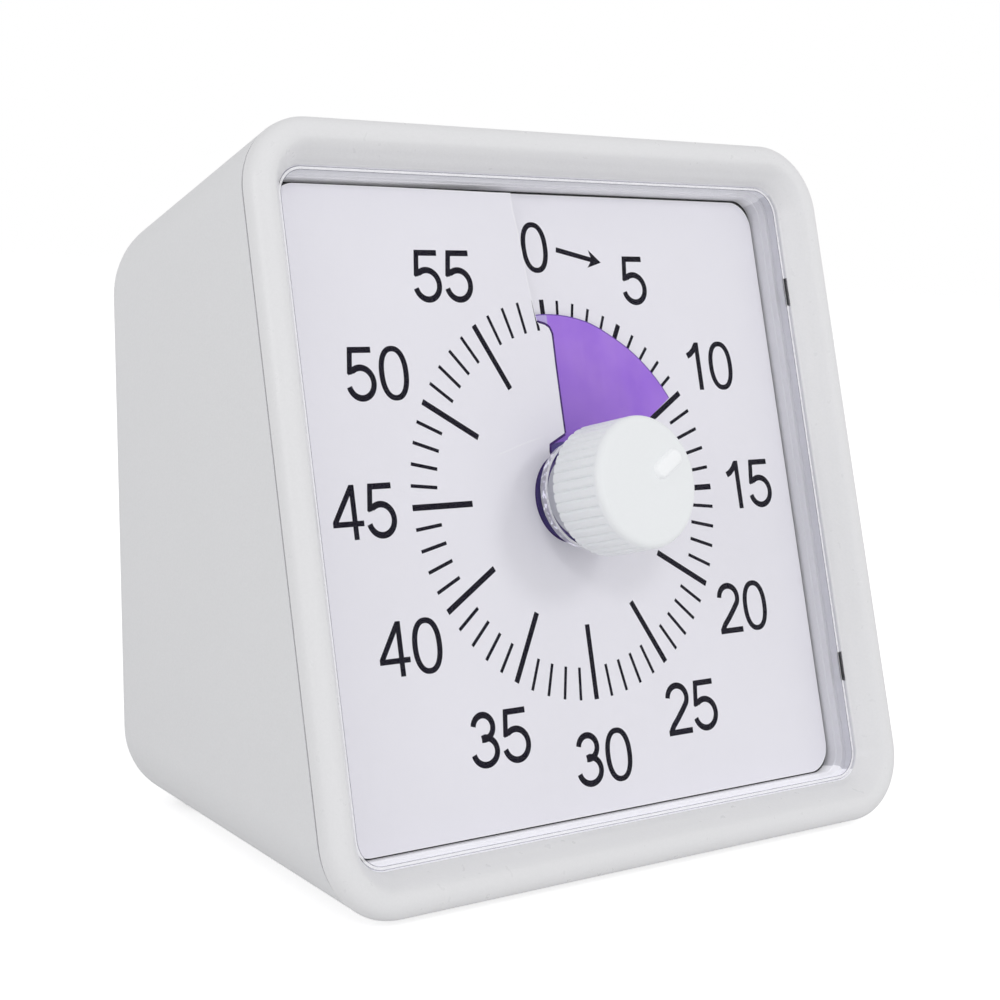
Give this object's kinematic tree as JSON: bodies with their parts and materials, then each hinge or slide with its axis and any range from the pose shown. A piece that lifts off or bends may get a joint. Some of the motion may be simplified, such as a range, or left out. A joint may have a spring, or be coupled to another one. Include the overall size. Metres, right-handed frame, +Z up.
{
  "type": "visual countdown timer",
  "caption": "Square sixty-minute countdown timer: tilted dial with a purple sector disc under a clear lens, fluted centre knob, tapered wedge body.",
  "frame": {"origin": "centre of the footprint at the foot level", "axes": "+Z up; -Y is the front, where the dial faces and leans back; +X is to the right of someone reading the dial"},
  "size_m": [0.08, 0.057, 0.0752],
  "materials": {
    "housing_white": "fine moulded texture, cool white",
    "bezel_white": "satin moulded white",
    "knob_white": "satin moulded, faint green-white",
    "clear_plastic": "clear polished sheet",
    "dial_paper": "matt printed card, faint lavender white",
    "purple_film": "satin purple film",
    "hub_purple": "dark purple moulding",
    "frame_plastic": "grey moulding",
    "movement_black": "black moulding",
    "steel": "zinc plated steel",
    "brass": "plain brass",
    "copper_wire": "enamelled copper winding",
    "board_green": "solder mask on laminate",
    "chip_black": "black resin",
    "rubber_grey": "matt rubber",
    "cell_wrap": "plain blue wrapped steel can",
    "wire_red": "red sleeving",
    "wire_black": "black sleeving",
    "switch_grey": "dark grey moulding",
    "gear_acetal": "natural acetal"
  },
  "bodies": {
    "housing": {"battery_cell": "cell_wrap", "battery_spring": "steel", "battery_tray": "frame_plastic", "black_wire": "wire_black", "buzzer_disc": "brass", "buzzer_shell": "movement_black", "capacitor": "chip_black", "case_screw_1": "steel", "case_screw_2": "steel", "case_screw_3": "steel", "case_screw_4": "steel", "circuit_board": "board_green", "clear_lens": "clear_plastic", "coil": "copper_wire", "coil_core": "steel", "contact_leaf": "brass", "crystal_can": "steel", "dial_card": "dial_paper", "dial_plate": "frame_plastic", "foot_1": "rubber_grey", "foot_2": "rubber_grey", "foot_3": "rubber_grey", "foot_4": "rubber_grey", "front_bezel": "bezel_white", "housing_screw_1": "steel", "housing_screw_2": "steel", "housing_screw_3": "steel", "housing_screw_4": "steel", "idler_arbor": "steel", "minus_contact": "steel", "movement_case_front": "movement_black", "movement_case_rear": "movement_black", "plus_contact": "steel", "rear_housing": "housing_white", "red_wire": "wire_red", "spindle_bush": "brass", "stator": "steel", "switch_body": "movement_black", "timer_chip": "chip_black"},
    "dial_group": {"knob": "knob_white", "disc_hub": "hub_purple", "time_disc": "purple_film", "spindle": "steel", "spindle_clip": "steel", "alarm_cam": "gear_acetal", "friction_washer": "steel"},
    "train_wheel": {"spindle_wheel": "gear_acetal"},
    "idler": {"idler_wheel": "gear_acetal"},
    "motor_rotor": {"rotor": "steel"},
    "cover": {"battery_cover": "housing_white"},
    "slider": {"switch_slider": "switch_grey"}
  },
  "joints": [
    {"name": "knob_turn", "type": "hinge", "parent": "housing", "child": "dial_group", "pos_m": [0, -0.0132, 0.03683], "axis": [0, 0.9646, -0.2639], "range_deg": [-57, 295], "deforming": ["time_disc"]},
    {"name": "train_turn", "type": "hinge", "parent": "housing", "child": "train_wheel", "pos_m": [0, -0.00577, 0.0348], "axis": [0, 0.9646, -0.2639], "range_deg": [-60, 0]},
    {"name": "idler_turn", "type": "hinge", "parent": "housing", "child": "idler", "pos_m": [-0.0076, -0.00662, 0.02679], "axis": [0, 0.9646, -0.2639], "range_deg": [0, 225]},
    {"name": "rotor_turn", "type": "hinge", "parent": "housing", "child": "motor_rotor", "pos_m": [-0.001, -0.00434, 0.02373], "axis": [0, 0.9646, -0.2639], "range_deg": [-600, 0]},
    {"name": "cover_open", "type": "hinge", "parent": "housing", "child": "cover", "pos_m": [0, 0.02562, 0.00574], "axis": [-1, 0, 0], "range_deg": [0, 85]},
    {"name": "sound_slide", "type": "slide", "parent": "housing", "child": "slider", "axis": [-1, 0, 0], "range_m": [0, 0.0044]}
  ],
  "couplings": [
    {"joint": "idler_turn", "follows": "train_turn", "ratio": -3.7143},
    {"joint": "rotor_turn", "follows": "train_turn", "ratio": 9.9048}
  ]
}
